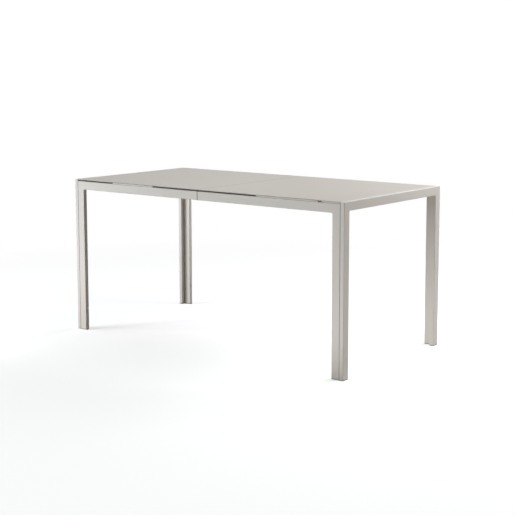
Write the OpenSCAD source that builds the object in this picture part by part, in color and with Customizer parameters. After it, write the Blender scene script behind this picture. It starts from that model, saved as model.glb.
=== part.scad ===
// Extendable dining table with a metal frame and a thin metal top.
// The table is split across the middle. Each half has its own pair of corner legs and its own
// top panel, and the two halves pull apart on extension bars that run inside the side rails.
// A rack on each half turns one pinion, which keeps the carriage of the bars midway between them.
// The insert leaf is stored on two ledges under the carriage.
// Origin on the floor under the middle of the closed table; +X along the table, +Z up.

/* [Table] */
// Length of the closed table
table_length = 1600; // [1300:10:2000]
// Width of the table
table_width = 800; // [660:10:1000]
// Height of the tabletop above the floor
table_height = 755; // [620:5:910]
// How far the halves pull apart, which is the width of the insert leaf
travel = 500; // [300:10:600]

/* [Frame tubes] */
// Wide side of the frame tube
tube_w = 40; // [32:1:50]
// Narrow side of the frame tube
tube_d = 20; // [18:1:26]
// Wall of the frame tube
tube_t = 2; // [1.6:0.1:2.4]
// Rounding of the frame tube's long edges
tube_r = 2; // [1:0.25:3]
// Fillet in the inner corners of an end frame
end_fillet = 5; // [3:0.5:9]
// Fillet in the inner corner of a side frame
side_fillet = 8; // [4:0.5:14]
// Rounding of the lower corner where the right half's rails end
mouth_r = 6; // [3:0.5:8]
// Height of the lips above and below the slot in a side rail's inner face
lip_h = 8; // [6:0.5:10]
// Height of the plastic feet under the leg tubes
foot_h = 5; // [3:0.5:10]

/* [Top] */
// Thickness of the top panels
panel_t = 4; // [3:0.5:8]
// Height of the undercut along the panels' long edges
undercut_h = 2.5; // [1:0.25:2.5]
// Shadow gap between the side rails and the panels
shadow_gap = 5; // [4:0.5:8]
// Hairline gap beside the panels
hairline = 0.5; // [0.3:0.1:1]
// Length of the left half's spacer strips
left_spacer_l = 262; // [100:1:400]
// Distance from the left end frame to the left half's spacer strips
left_spacer_x = 241; // [20:1:300]
// Length of the right half's short spacer strips, which start at its end frame
short_spacer_l = 91; // [40:1:120]
// Break between the right half's short and long spacer strips
spacer_break = 21; // [5:1:40]
// Length of the right half's long spacer strips
long_spacer_l = 330; // [100:1:400]

/* [Extension bars] */
// Clearance of the extension bars in their plastic guides
guide_gap = 0.25; // [0.1:0.05:0.4]
// Length of the plastic guide inside each rail's mouth
guide_l = 30; // [20:1:60]
// Thickness of the guide's flange, which shows in the seam between the rails
flange_t = 2; // [1:0.5:3]
// Free length of side rail past the end of the extension bar
bar_end_room = 100; // [60:5:140]
// Length of the glide beyond the end of an extension bar
glide_l = 12; // [8:1:20]

/* [Carriage] */
// Distance between the centres of the two carriage tubes
carriage_w = 240; // [160:10:260]
// Clearance of the carriage tubes above and below in the rails' slots
carriage_room = 2; // [1:0.5:4]
// Thickness of the pinion plate
plate_t = 2; // [1.5:0.5:3]
// Width of the pinion plate
plate_w = 100; // [90:2:140]

/* [Rack and pinion] */
// Gear module
gear_m = 2; // [1.5:0.1:2.4]
// Number of pinion teeth, always even so that both racks mesh
gear_teeth = 20; // [18:2:24]
// Pressure angle of the teeth
gear_angle = 20; // [20:1:25]
// Play between the pinion and the racks, measured along the pitch line
gear_play = 0.3; // [0.1:0.05:0.6]
// Thickness of the pinion
pinion_t = 5; // [4:0.5:5.5]
// Width of the rack behind its teeth
rack_back = 9.5; // [7:0.5:12]
// Radius of the pinion pin
pin_r = 3.95; // [2.95:0.5:4.95]
// Running clearance of the pinion on its pin
pin_gap = 0.05; // [0.02:0.01:0.09]

/* [Latches] */
// Distance of the latches from the side rails
latch_inset = 80; // [70:5:150]
// Distance of the latch studs from the seam
stud_x = 21; // [18:1:24]
// Radius of the latch studs
stud_r = 3; // [2.5:0.25:3.5]
// Clearance of a stud in the lever's notch
notch_gap = 0.7; // [0.5:0.1:1]
// Thickness of the latch lever
lever_t = 3; // [2:0.5:3]
// Width of the latch lever
lever_w = 14; // [12:1:16]

/* [Insert leaf] */
// Height of the battens under the leaf's panel
batten_h = 15; // [10:1:15]
// Width of the leaf's battens
batten_w = 30; // [20:1:40]
// Length of the ledges that hold the stored leaf
ledge_l = 700; // [500:10:760]
// Thickness of the ledges
ledge_t = 3; // [2:0.5:4]

/* [Finish] */
// Colour of the powder-coated frame
frame_colour = [0.80, 0.78, 0.74];
// Colour of the top panels
top_colour = [0.76, 0.74, 0.70];
// Colour of bare aluminium
bare_colour = [0.72, 0.73, 0.75];
// Colour of the black plastic pieces
plastic_colour = [0.16, 0.15, 0.14];
// Colour of the steel fasteners
steel_colour = [0.60, 0.61, 0.63];

/* [Hidden] */
$fn = 64;

// Play between parts that slide or turn past each other without bearing
slide_gap = 0.3;
// Length by which a cutting shape runs past the face that it cuts
cut = 1;

// Plan of the frame
half_l = table_length / 2;
half_w = table_width / 2;
end_inner_x = half_l - tube_d;
leg_inner_x = end_inner_x - tube_w;
rail_inner_y = half_w - tube_d;
rail_mid_y = half_w - tube_d / 2;
rail_end_x = flange_t + slide_gap / 2;

// Heights, from the tabletop down
panel_z = table_height - panel_t;
rail_top = panel_z - shadow_gap;
undercut_d = 2.4 * undercut_h;
rail_z = rail_top - tube_w;
rail_mid_z = rail_top - tube_w / 2;
slot_z = rail_z + lip_h;
slot_h = tube_w - 2 * lip_h;
end_rail_z = table_height - tube_w;

// Extension bars, inside the side rails
cavity_d = tube_d - 2 * tube_t;
cavity_h = tube_w - 2 * tube_t;
guide_wall = 1.75;
bar_d = cavity_d - 2 * (guide_wall + guide_gap);
bar_h = cavity_h - 2 * (guide_wall + guide_gap);
bar_wall = 2;
bar_half_l = leg_inner_x - bar_end_room;
bar_inner_y = rail_mid_y - bar_d / 2;

// Carriage
carriage_x = carriage_w / 2;
carriage_tube = slot_h - 2 * carriage_room;
carriage_z = rail_mid_z - carriage_tube / 2;
plate_z = carriage_z + carriage_tube;
plate_half_l = carriage_x + carriage_tube / 2;
plate_screw_y = plate_w / 2 - 8;

// Rack and pinion, above the pinion plate
pitch_r = gear_m * gear_teeth / 2;
gear_pitch = PI * gear_m;
base_r = pitch_r * cos(gear_angle);
tip_r = pitch_r + gear_m;
root_r = pitch_r - 1.25 * gear_m;
gear_z = plate_z + plate_t + slide_gap;
rack_t = pinion_t + 0.4;
rack_root_y = pitch_r + 1.25 * gear_m;
rack_back_y = rack_root_y + rack_back;
pinion_reach = travel / 2;
rack_spare_teeth = 2;
rack_first = -rack_spare_teeth;
rack_last = ceil(pinion_reach / gear_pitch) + rack_spare_teeth - 1;
rack_tip_x = (rack_last + 1) * gear_pitch;

// Cross bars of each half, beyond the reach of the other half's rack
cross_w = 20;
cross_wall = 2;
cross_room = 1;
cross_z = carriage_z + cross_room;
cross_h = rail_top - cross_z;
cross_plate_t = 3;
cross_plate_w = 44;
inner_cross_x = rack_tip_x + 25 + cross_w / 2;
outer_cross_x = (inner_cross_x + end_inner_x) / 2;
pad_y = rail_inner_y - 30;
rack_tail_x = inner_cross_x + cross_w / 2 + 4;

// Seam bars under the free edges of the panels
seam_bar_x = 6;
seam_bar_w = 2 * (stud_x - seam_bar_x);
seam_bar_y = rail_inner_y - 10;

// End ledges under the outer ends of the panels
end_ledge_w = 20;
end_ledge_h = 21;
end_ledge_t = 3;
end_ledge_y = rail_inner_y - 40;

// Latches
latch_y = rail_inner_y - latch_inset;
stud_collar_r = 6;
stud_head_r = 5.5;
stud_head_t = 1.9;
lever_z = rail_top - 2 - lever_t;
lever_reach = 2 * stud_x;
lever_tail = 30;
notch_r = stud_r + notch_gap;
notch_in = notch_r + lever_reach - sqrt(pow(lever_reach, 2) - pow(lever_w / 2, 2));

// Insert leaf, stored a quarter turn from the way it is used
leaf_w = travel;
leaf_l = table_width;
ledge_y = leaf_w / 2 + 2;
ledge_lip = 20;
ledge_flange = 26;
ledge_drop = panel_t + batten_h + ledge_t + 5;
ledge_z = carriage_z - ledge_drop;
leaf_z = ledge_z + ledge_t + 0.2;
batten_l = leaf_w - 10;
inner_batten_x = leaf_l * 3 / 20;
outer_batten_x = leaf_l * 33 / 80;

// Fasteners
frame_screw_z = [105, rail_z - 86];
frame_screw_r = 2.9;
frame_screw_l = tube_w + 2 * tube_t + 4;
m4_r = 1.95;
m5_r = 2.45;
hole_play = 0.15;

// ---------- shared shapes ----------

// Runs a profile drawn in Y and Z along +X
module along_x(length) rotate([90, 0, 90]) linear_extrude(length) children();

// Runs a profile drawn in X and Z along +Y
module along_y(length) translate([0, length, 0]) rotate([90, 0, 0]) linear_extrude(length) children();

// Rectangle with rounded corners, its low corner at the origin
module rounded_rect(w, h, r) {
    translate([r, 0]) square([w - 2 * r, h]);
    translate([0, r]) square([w, h - 2 * r]);
    for (x = [r, w - r], y = [r, h - r]) translate([x, y]) circle(r);
}

// Draws its children on both long sides of the table
module both_sides() {
    children();
    mirror([0, 1, 0]) children();
}

// Domed screw head with a hexagonal socket, seated on z = 0 and facing +Z, shank below it
module screw(head_r, head_h, shank_r, shank_l) {
    socket_r = shank_r * 0.72;
    difference() {
        union() {
            cylinder(r = head_r, h = head_h * 0.45);
            translate([0, 0, head_h * 0.45])
                cylinder(r1 = head_r, r2 = head_r * 0.68, h = head_h * 0.55);
        }
        translate([0, 0, head_h * 0.4]) cylinder(r = socket_r, h = head_h, $fn = 6);
    }
    translate([0, 0, -shank_l]) cylinder(r = shank_r, h = shank_l);
}

// ---------- end frames ----------

// Region of an end frame's near leg in Y and Z, cut at 45 degrees where it meets the rail
module end_leg_region() {
    polygon([
        [-half_w, 0], [-half_w, table_height],
        [-half_w + tube_w, end_rail_z], [-half_w + tube_w, 0],
    ]);
}

// Region of an end frame's rail in Y and Z
module end_rail_region() {
    polygon([
        [-half_w, table_height], [half_w, table_height],
        [half_w - tube_w, end_rail_z], [-half_w + tube_w, end_rail_z],
    ]);
}

// Quarter bend of tube that fills the inner corner of an end frame
module end_corner() {
    translate([0, -half_w + tube_w + end_fillet, end_rail_z - end_fillet]) rotate([0, 90, 0])
        rotate_extrude(angle = 90, start = 180)
            translate([end_fillet, end_inner_x]) rounded_rect(tube_w / 2, tube_d, tube_r);
}

// Right end frame: two legs and a rail of rectangular tube, mitred and welded
module end_frame() {
    difference() {
        union() {
            both_sides() {
                intersection() {
                    translate([end_inner_x, -half_w, foot_h])
                        linear_extrude(table_height) rounded_rect(tube_d, tube_w, tube_r);
                    translate([end_inner_x, 0, 0]) along_x(tube_d) end_leg_region();
                }
                end_corner();
            }
            intersection() {
                translate([end_inner_x, -half_w, end_rail_z])
                    along_y(table_width) rounded_rect(tube_d, tube_w, tube_r);
                translate([end_inner_x, 0, 0]) along_x(tube_d) end_rail_region();
            }
        }
        both_sides() {
            intersection() {
                translate([end_inner_x + tube_t, -half_w + tube_t, foot_h - cut])
                    cube([cavity_d, cavity_h, table_height]);
                translate([end_inner_x, 0, 0]) along_x(tube_d) end_leg_region();
            }
            for (z = frame_screw_z)
                translate([end_inner_x - cut, -rail_mid_y, z])
                    rotate([0, 90, 0]) cylinder(r = frame_screw_r + 0.1, h = tube_t + cut);
        }
        intersection() {
            translate([end_inner_x + tube_t, -half_w, end_rail_z + tube_t])
                cube([cavity_d, table_width, cavity_h]);
            translate([end_inner_x, 0, 0]) along_x(tube_d) end_rail_region();
        }
    }
}

// ---------- side frames ----------

// Region of a side frame's leg in X and Z, cut at 45 degrees where it meets the rail
module side_leg_region() {
    polygon([
        [leg_inner_x, 0], [end_inner_x, 0], [end_inner_x, rail_top], [leg_inner_x, rail_z],
    ]);
}

// Region of a side frame's rail in X and Z
module side_rail_region() {
    polygon([
        [0, rail_z], [leg_inner_x, rail_z], [end_inner_x, rail_top], [0, rail_top],
    ]);
}

// Quarter bend of tube that fills the inner corner of a side frame
module side_corner() {
    translate([leg_inner_x - side_fillet, -rail_inner_y, rail_z - side_fillet])
        rotate([90, 0, 0]) rotate_extrude(angle = 90)
            translate([side_fillet, 0]) rounded_rect(tube_w / 2, tube_d, tube_r);
}

// Lower corner of the rail's mouth that a round cut takes away
module mouth_cut(r) {
    translate([rail_end_x, -half_w - cut, rail_z]) along_y(tube_d + 2 * cut) difference() {
        translate([-cut, -cut]) square([r + cut, r + cut]);
        translate([r, r]) circle(r);
    }
}

// Front right side frame: a leg and half a side rail, mitred and welded.
// The rail is open at its mouth, and a slot in its inner face lets the carriage tubes through.
module side_frame(mouth_rounding = 0) {
    difference() {
        union() {
            intersection() {
                translate([leg_inner_x, -half_w, foot_h])
                    linear_extrude(table_height) rounded_rect(tube_w, tube_d, tube_r);
                translate([0, -half_w, 0]) along_y(tube_d) side_leg_region();
            }
            intersection() {
                translate([rail_end_x, -half_w, rail_z])
                    along_x(half_l) rounded_rect(tube_d, tube_w, tube_r);
                translate([0, -half_w, 0]) along_y(tube_d) side_rail_region();
            }
            side_corner();
        }
        intersection() {
            translate([leg_inner_x + tube_t, -half_w + tube_t, foot_h - cut])
                cube([cavity_h, cavity_d, table_height]);
            translate([0, -half_w, 0]) along_y(tube_d) side_leg_region();
        }
        intersection() {
            translate([rail_end_x - cut, -half_w + tube_t, rail_z + tube_t])
                cube([half_l, cavity_d, cavity_h]);
            translate([0, -half_w, 0]) along_y(tube_d) side_rail_region();
        }
        translate([rail_end_x - cut, -rail_inner_y - tube_t - cut, slot_z])
            cube([leg_inner_x - rail_end_x + cut, tube_t + 2 * cut, slot_h]);
        for (z = frame_screw_z)
            translate([leg_inner_x - cut, -rail_mid_y, z])
                rotate([0, 90, 0]) cylinder(r = frame_screw_r + 0.4, h = tube_w + 2 * cut);
        for (x = [inner_cross_x, outer_cross_x]) cross_screw_holes(x, m4_r + 0.05);
        if (mouth_rounding > 0) mouth_cut(mouth_rounding);
    }
}

// Plastic guide in the mouth of the front right rail: a liner that the bar slides through,
// with a flange over the end of the rail
module rail_guide() {
    passage_d = bar_d + 2 * guide_gap;
    passage_h = bar_h + 2 * guide_gap;
    difference() {
        union() {
            translate([rail_end_x - flange_t, -half_w, rail_z])
                along_x(flange_t) rounded_rect(tube_d, tube_w, tube_r);
            translate([rail_end_x, -half_w + tube_t + 0.05, rail_z + tube_t + 0.05])
                cube([guide_l, cavity_d - 0.1, cavity_h - 0.1]);
        }
        translate([0, -rail_mid_y - passage_d / 2, rail_mid_z - passage_h / 2])
            cube([guide_l + tube_w, passage_d, passage_h]);
        translate([0, -rail_mid_y, slot_z]) cube([guide_l + tube_w, tube_d, slot_h]);
    }
}

// ---------- feet ----------

// Plastic foot in the end of a leg tube w wide and d deep, its low corner at the origin
module foot(w, d) {
    play = 0.1;
    wall = 1.5;
    insert_h = 18;
    difference() {
        union() {
            translate([play, play, 0]) linear_extrude(foot_h)
                rounded_rect(w - 2 * play, d - 2 * play, tube_r);
            translate([tube_t + play, tube_t + play, foot_h])
                cube([w - 2 * (tube_t + play), d - 2 * (tube_t + play), insert_h]);
        }
        translate([tube_t + play + wall, tube_t + play + wall, foot_h])
            cube([w - 2 * (tube_t + play + wall), d - 2 * (tube_t + play + wall), insert_h + cut]);
    }
}

// Feet of the right end frame
module end_leg_feet() both_sides() translate([end_inner_x, -half_w, 0]) foot(tube_d, tube_w);

// Feet of the two right side frames
module side_leg_feet() both_sides() translate([leg_inner_x, -half_w, 0]) foot(tube_w, tube_d);

// Screws that join the right side frames to the right end frame
module frame_screws() {
    both_sides() for (z = frame_screw_z)
        translate([leg_inner_x, -rail_mid_y, z])
            rotate([0, -90, 0]) screw(5.5, 3, frame_screw_r, frame_screw_l);
}

// ---------- cross bars ----------

// Places of the screws at one end of a cross bar, in X and Z
function cross_screw_places(x) = [
    for (dx = [-16, 16], z = [rail_z + lip_h / 2 + 1, rail_top - lip_h / 2 - 1]) [x + dx, z]
];

// Holes for the screws at the front end of the cross bar at x
module cross_screw_holes(x, r) {
    for (p = cross_screw_places(x))
        translate([p[0], -rail_inner_y - tube_t - cut, p[1]])
            rotate([-90, 0, 0]) cylinder(r = r, h = tube_t + cross_plate_t + 2 * cut);
}

// Cross bar between the side rails, with a welded plate at each end
module cross_bar(x) {
    inner_w = cross_w - 2 * cross_wall;
    inner_h = cross_h - 2 * cross_wall;
    difference() {
        union() {
            translate([x - cross_w / 2, -rail_inner_y, cross_z])
                along_y(2 * rail_inner_y) rounded_rect(cross_w, cross_h, 1.5);
            both_sides() translate([x - cross_plate_w / 2, -rail_inner_y, rail_z])
                along_y(cross_plate_t) rounded_rect(cross_plate_w, tube_w, 3);
        }
        translate([x - inner_w / 2, -rail_inner_y - cut, cross_z + cross_wall])
            cube([inner_w, 2 * (rail_inner_y + cut), inner_h]);
        both_sides() cross_screw_holes(x, m4_r + hole_play);
    }
}

// Inner cross bar of the right half, notched for the tail of its rack
module inner_cross_bar() {
    difference() {
        cross_bar(inner_cross_x);
        translate([inner_cross_x - cross_w, -rack_back_y - slide_gap, gear_z])
            cube([2 * cross_w, rack_back + 2 * slide_gap, rail_top]);
    }
}

// Rubber pad between a cross bar and the panel
module panel_pad(x) {
    translate([x - cross_w / 2, -pad_y, rail_top]) cube([cross_w, 2 * pad_y, shadow_gap]);
}

// Screws at both ends of the right half's cross bars
module cross_bar_screws() {
    both_sides() for (x = [inner_cross_x, outer_cross_x], p = cross_screw_places(x))
        translate([p[0], -rail_inner_y + cross_plate_t, p[1]])
            rotate([-90, 0, 0]) screw(3.75, 2.2, m4_r, cross_plate_t + tube_t - 0.4);
}

// ---------- top ----------

// Top panel l long: thin sheet metal. Its top edges are broken all round, and its long edges are
// undercut, so that it seems to float on a shadow.
module panel(l) {
    edge = 0.8;
    intersection() {
        along_x(l) polygon([
            [-half_w, table_height - edge], [-half_w + edge, table_height],
            [half_w - edge, table_height], [half_w, table_height - edge],
            [half_w, panel_z + undercut_h], [half_w - undercut_d, panel_z],
            [-half_w + undercut_d, panel_z], [-half_w, panel_z + undercut_h],
        ]);
        translate([0, -half_w - cut, 0]) along_y(table_width + 2 * cut) polygon([
            [0, panel_z - cut], [0, table_height - edge], [edge, table_height],
            [l - edge, table_height], [l, table_height - edge], [l, panel_z - cut],
        ]);
    }
}

// Top panel of the right half
module top_panel() {
    translate([hairline / 2, 0, 0]) panel(end_inner_x - hairline * 3 / 2);
}

// Flat bar bonded under the free edge of the right panel, which carries rack and latch studs
module seam_bar() {
    difference() {
        translate([seam_bar_x, -seam_bar_y, rail_top])
            linear_extrude(shadow_gap) rounded_rect(seam_bar_w, 2 * seam_bar_y, 3);
        both_sides() translate([stud_x, -latch_y, rail_top - cut])
            cylinder(r = stud_r + hole_play, h = shadow_gap - 1 + cut);
    }
}

// Angle on the inside of the right end rail, which carries the outer end of the panel
module end_ledge() {
    low = panel_z - end_ledge_h;
    translate([0, -end_ledge_y, 0]) along_y(2 * end_ledge_y) polygon([
        [end_inner_x, low], [end_inner_x, panel_z], [end_inner_x - end_ledge_w, panel_z],
        [end_inner_x - end_ledge_w, panel_z - end_ledge_t],
        [end_inner_x - end_ledge_t, panel_z - end_ledge_t], [end_inner_x - end_ledge_t, low],
    ]);
}

// Spacer strip of length l on the front rail, from x onwards: its front face stands between a
// groove above the rail and a lip under the panel's undercut
module spacer_strip(x, l) {
    inset = 0.5;
    groove_d = 3;
    groove_h = 1.2;
    strip_d = tube_d - 2 * inset - tube_r;
    lip_top = shadow_gap + 0.4 * undercut_h;
    translate([x, -half_w + inset, rail_top]) along_x(l) polygon([
        [groove_d, 0], [strip_d, 0], [strip_d, shadow_gap], [undercut_d / 3, shadow_gap],
        [undercut_d / 3, lip_top], [0, lip_top], [0, groove_h], [groove_d, groove_h],
    ]);
}

// Short and long spacer strips of the right half
module right_spacers() {
    short_x = end_inner_x - short_spacer_l;
    translate([-hairline, 0, 0]) {
        spacer_strip(short_x, short_spacer_l);
        spacer_strip(short_x - spacer_break - long_spacer_l, long_spacer_l);
    }
}

// ---------- extension bars and carriage ----------

// Front extension bar: a rectangular tube that runs inside both halves of the side rail
module extension_bar() {
    translate([-bar_half_l, -rail_mid_y - bar_d / 2, rail_mid_z - bar_h / 2]) difference() {
        along_x(2 * bar_half_l) rounded_rect(bar_d, bar_h, 1);
        translate([-cut, bar_wall, bar_wall])
            cube([2 * (bar_half_l + cut), bar_d - 2 * bar_wall, bar_h - 2 * bar_wall]);
    }
}

// Plastic glides on both ends of the front extension bar
module bar_glides() {
    insert_l = 20;
    play = 0.1;
    glide_d = cavity_d - 2 * guide_gap;
    glide_h = cavity_h - 2 * guide_gap;
    insert_d = bar_d - 2 * (bar_wall + play);
    insert_h = bar_h - 2 * (bar_wall + play);
    for (side = [0, 1]) mirror([side, 0, 0]) {
        translate([bar_half_l, -rail_mid_y - glide_d / 2, rail_mid_z - glide_h / 2])
            along_x(glide_l) rounded_rect(glide_d, glide_h, 1);
        translate([bar_half_l - insert_l, -rail_mid_y - insert_d / 2, rail_mid_z - insert_h / 2])
            cube([insert_l, insert_d, insert_h]);
    }
}

// Right carriage tube, from bar to bar through the slots of the side rails
module carriage_cross_tube() {
    wall = 2;
    inner = carriage_tube - 2 * wall;
    difference() {
        translate([carriage_x - carriage_tube / 2, -bar_inner_y, carriage_z])
            along_y(2 * bar_inner_y) rounded_rect(carriage_tube, carriage_tube, 1.5);
        translate([carriage_x - inner / 2, -bar_inner_y - cut, carriage_z + wall])
            cube([inner, 2 * (bar_inner_y + cut), inner]);
        both_sides() {
            translate([carriage_x, -plate_screw_y, plate_z - wall - cut])
                cylinder(r = m5_r + 0.05, h = wall + 2 * cut);
            translate([carriage_x, -ledge_y - ledge_flange / 2, carriage_z - cut])
                cylinder(r = m5_r + 0.05, h = wall + 2 * cut);
        }
    }
}

// ---------- rack and pinion ----------

// Point of a base circle's involute where its unrolled angle is t degrees, as radius and angle
function involute_radius(t) = base_r / cos(atan(t * PI / 180));
function involute_turn(t) = t - atan(t * PI / 180);

// Half of a pinion tooth's angle at the base circle
tooth_half_angle = 90 / gear_teeth - gear_play / 4 / pitch_r * 180 / PI
    + tan(gear_angle) * 180 / PI - gear_angle;
flank_end = sqrt(pow(tip_r / base_r, 2) - 1) * 180 / PI;
flank_steps = 5;

// One side of a tooth from root to tip; side is -1 for the clockwise flank and 1 for the other
function flank(side) = concat(
    [[root_r, side * tooth_half_angle]],
    [for (i = [0:flank_steps]) let (t = flank_end * i / flank_steps)
        [involute_radius(t), side * (tooth_half_angle - involute_turn(t))]]
);

function reversed(list) = [for (i = [len(list) - 1:-1:0]) list[i]];

// Outline of the pinion, with a tooth on +Y
function pinion_outline() = [
    for (n = [0:gear_teeth - 1], p = concat(flank(-1), reversed(flank(1))))
        let (a = 90 + n * 360 / gear_teeth + p[1]) [p[0] * cos(a), p[0] * sin(a)]
];

// Outline of the left rack's teeth; they point towards -Y, and a space is centred on x = 0
function rack_teeth() = [
    for (n = [rack_first:rack_last])
        let (
            x = (n + 0.5) * gear_pitch,
            mid = gear_pitch / 4 - gear_play / 4,
            tip = mid - gear_m * tan(gear_angle),
            root = mid + 1.25 * gear_m * tan(gear_angle)
        )
        each [
            [x - root, rack_root_y], [x - tip, pitch_r - gear_m],
            [x + tip, pitch_r - gear_m], [x + root, rack_root_y],
        ]
];

// Left rack, from the notch in its cross bar to beyond the pinion's reach
module gear_rack() {
    foot_l = seam_bar_w;
    translate([0, 0, gear_z]) linear_extrude(rack_t) polygon(concat(
        [[-rack_tail_x, rack_back_y], [-rack_tail_x, rack_root_y]],
        rack_teeth(),
        [[rack_tip_x, rack_root_y], [rack_tip_x, rack_back_y]]
    ));
    translate([-seam_bar_x - foot_l, rack_root_y + 0.5, gear_z])
        cube([foot_l, rack_back - 0.5, rail_top - gear_z]);
}

// Plate across the carriage tubes that carries the pinion
module pinion_carrier() {
    difference() {
        translate([-plate_half_l, -plate_w / 2, plate_z])
            linear_extrude(plate_t) rounded_rect(2 * plate_half_l, plate_w, 6);
        translate([0, 0, plate_z - cut]) cylinder(r = pin_r + pin_gap, h = plate_t + 2 * cut);
        for (x = [-carriage_x, carriage_x], y = [-plate_screw_y, plate_screw_y])
            translate([x, y, plate_z - cut]) cylinder(r = m5_r + hole_play, h = plate_t + 2 * cut);
    }
}

// Headed pin that holds the pinion on its plate
module headed_pin() {
    head_z = gear_z + pinion_t + slide_gap;
    head_h = 1.5;
    tail_h = 2.5;
    rotate_extrude() polygon([
        [0, plate_z - tail_h], [pin_r + 1.5, plate_z - tail_h], [pin_r + 2.5, plate_z - tail_h + 1],
        [pin_r + 2.5, plate_z], [pin_r, plate_z], [pin_r, head_z], [pin_r + 2.5, head_z],
        [pin_r + 2.5, head_z + head_h - 0.5], [pin_r + 2, head_z + head_h], [0, head_z + head_h],
    ]);
}

// ---------- insert leaf and its ledges ----------

// Back leaf ledge: a Z-shaped section whose lower lip carries the leaf
module leaf_ledge() {
    translate([-ledge_l / 2, 0, 0]) difference() {
        along_x(ledge_l) polygon([
            [ledge_y - ledge_lip, ledge_z], [ledge_y + ledge_t, ledge_z],
            [ledge_y + ledge_t, carriage_z - ledge_t],
            [ledge_y + ledge_flange, carriage_z - ledge_t],
            [ledge_y + ledge_flange, carriage_z], [ledge_y, carriage_z],
            [ledge_y, ledge_z + ledge_t], [ledge_y - ledge_lip, ledge_z + ledge_t],
        ]);
        for (x = [-carriage_x, carriage_x])
            translate([ledge_l / 2 + x, ledge_y + ledge_flange / 2, carriage_z - ledge_t - cut])
                cylinder(r = m5_r + hole_play, h = ledge_t + 2 * cut);
    }
}

// One of the leaf's battens, a flat tube across the stored leaf at x
module leaf_batten(x) {
    wall = 1.5;
    translate([x - batten_w / 2, -batten_l / 2, leaf_z]) difference() {
        along_y(batten_l) rounded_rect(batten_w, batten_h, 2);
        translate([wall, -cut, wall])
            cube([batten_w - 2 * wall, batten_l + 2 * cut, batten_h - 2 * wall]);
    }
}

// ---------- latches ----------

// Headed stud under a seam bar at x and y: a latch pivot, or the stud that a latch hooks
module latch_stud(x, y) {
    collar_z = lever_z + lever_t + slide_gap;
    head_z = lever_z - slide_gap - stud_head_t;
    translate([x, y, 0]) rotate_extrude() polygon([
        [0, head_z], [stud_head_r - 0.8, head_z], [stud_head_r, head_z + 0.8],
        [stud_head_r, lever_z - slide_gap], [stud_r, lever_z - slide_gap], [stud_r, collar_z],
        [stud_collar_r, collar_z], [stud_collar_r, rail_top], [stud_r, rail_top],
        [stud_r, panel_z - 1], [0, panel_z - 1],
    ]);
}

// Latch lever in its own frame: pivot at the origin, hook towards +X, open towards -Y.
// The notch is wider towards the pivot, because the stud swings in on an arc.
module lever() {
    reach = lever_reach;
    linear_extrude(lever_t) difference() {
        union() {
            circle(lever_w / 2 + 1.5);
            translate([-lever_tail, -lever_w / 2 + 2]) square([lever_tail + reach, lever_w - 4]);
            translate([0, -lever_w / 2]) square([reach + 2, lever_w]);
            translate([reach + 2, 0]) circle(lever_w / 2);
            translate([-lever_tail, 0]) circle(lever_w / 2);
        }
        circle(stud_r + pin_gap);
        translate([reach - notch_in, notch_r - 2 * lever_w])
            rounded_rect(notch_in + notch_r, 2 * lever_w, 1);
    }
}

// ---------- left half ----------

module left_end_frame() color(frame_colour) mirror([1, 0, 0]) end_frame();

module front_left_side_frame() color(frame_colour) mirror([1, 0, 0]) side_frame();

module back_left_side_frame() color(frame_colour) rotate([0, 0, 180]) side_frame();

module left_top_panel() color(top_colour) mirror([1, 0, 0]) top_panel();

module left_inner_cross_bar() color(bare_colour) rotate([0, 0, 180]) inner_cross_bar();

module left_outer_cross_bar() color(bare_colour) cross_bar(-outer_cross_x);

module left_inner_panel_pad() color(plastic_colour) panel_pad(-inner_cross_x);

module left_outer_panel_pad() color(plastic_colour) panel_pad(-outer_cross_x);

module left_seam_bar() color(bare_colour) mirror([1, 0, 0]) seam_bar();

module left_end_ledge() color(bare_colour) mirror([1, 0, 0]) end_ledge();

module front_left_spacer_strip() {
    color(frame_colour)
        spacer_strip(-end_inner_x + left_spacer_x, left_spacer_l);
}

module back_left_spacer_strip() color(frame_colour) mirror([0, 1, 0]) front_left_spacer_strip();

module left_gear_rack() color(plastic_colour) gear_rack();

module front_left_rail_guide() color(plastic_colour) mirror([1, 0, 0]) rail_guide();

module back_left_rail_guide() color(plastic_colour) rotate([0, 0, 180]) rail_guide();

module left_end_leg_feet() color(plastic_colour) mirror([1, 0, 0]) end_leg_feet();

module left_side_leg_feet() color(plastic_colour) mirror([1, 0, 0]) side_leg_feet();

module left_frame_screws() color(steel_colour) mirror([1, 0, 0]) frame_screws();

module left_cross_bar_screws() color(steel_colour) mirror([1, 0, 0]) cross_bar_screws();

module latch_pivot_studs() {
    color(steel_colour) for (y = [-latch_y, latch_y]) latch_stud(-stud_x, y);
}

// ---------- right half ----------

module right_end_frame() color(frame_colour) end_frame();

module front_right_side_frame() color(frame_colour) side_frame(mouth_r);

module back_right_side_frame() color(frame_colour) mirror([0, 1, 0]) side_frame(mouth_r);

module right_top_panel() color(top_colour) top_panel();

module right_inner_cross_bar() color(bare_colour) inner_cross_bar();

module right_outer_cross_bar() color(bare_colour) cross_bar(outer_cross_x);

module right_inner_panel_pad() color(plastic_colour) panel_pad(inner_cross_x);

module right_outer_panel_pad() color(plastic_colour) panel_pad(outer_cross_x);

module right_seam_bar() color(bare_colour) seam_bar();

module right_end_ledge() color(bare_colour) end_ledge();

module front_right_spacer_strips() color(frame_colour) right_spacers();

module back_right_spacer_strips() color(frame_colour) mirror([0, 1, 0]) right_spacers();

module right_gear_rack() color(plastic_colour) rotate([0, 0, 180]) gear_rack();

module front_right_rail_guide() color(plastic_colour) rail_guide();

module back_right_rail_guide() color(plastic_colour) mirror([0, 1, 0]) rail_guide();

module right_end_leg_feet() color(plastic_colour) end_leg_feet();

module right_side_leg_feet() color(plastic_colour) side_leg_feet();

module right_frame_screws() color(steel_colour) frame_screws();

module right_cross_bar_screws() color(steel_colour) cross_bar_screws();

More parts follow.
